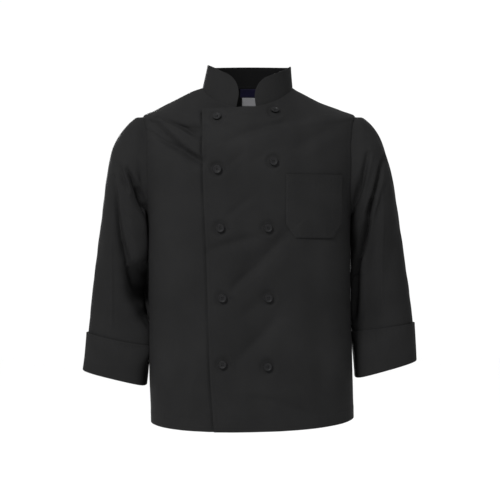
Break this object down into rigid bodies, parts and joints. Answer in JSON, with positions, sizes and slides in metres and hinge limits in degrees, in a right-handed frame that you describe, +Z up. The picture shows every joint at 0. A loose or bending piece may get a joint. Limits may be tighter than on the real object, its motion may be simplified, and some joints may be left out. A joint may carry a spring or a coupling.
{
  "type": "chef jacket",
  "caption": "Black long-sleeved chef jacket with a double-breasted button front, stand collar, turned-back cuffs and a chest pocket, hollow and filled out as when worn.",
  "frame": {"origin": "middle of the neck opening, at the height of the seam where the collar meets the shoulders, where the wearer's neck and shoulders hold the jacket", "axes": "+Z up, towards the collar; the front faces -Y; +X is the wearer's left"},
  "size_m": [0.7368, 0.2574, 0.7958],
  "materials": {
    "black_twill": "matt",
    "black_plastic": "satin",
    "navy_tape": "satin",
    "pale_tape": "satin"
  },
  "bodies": {
    "root": {"front_left": "black_twill", "front_right": "black_twill", "back": "black_twill", "sleeve_left": "black_twill", "sleeve_right": "black_twill", "cuff_left": "black_twill", "cuff_right": "black_twill", "collar": "black_twill", "pocket": "black_twill", "button_left_1": "black_plastic", "button_left_2": "black_plastic", "button_left_3": "black_plastic", "button_left_4": "black_plastic", "button_left_5": "black_plastic", "button_right_1": "black_plastic", "button_right_2": "black_plastic", "button_right_3": "black_plastic", "button_right_4": "black_plastic", "button_right_5": "black_plastic", "label_woven": "navy_tape", "label_care": "pale_tape"}
  },
  "joints": []
}
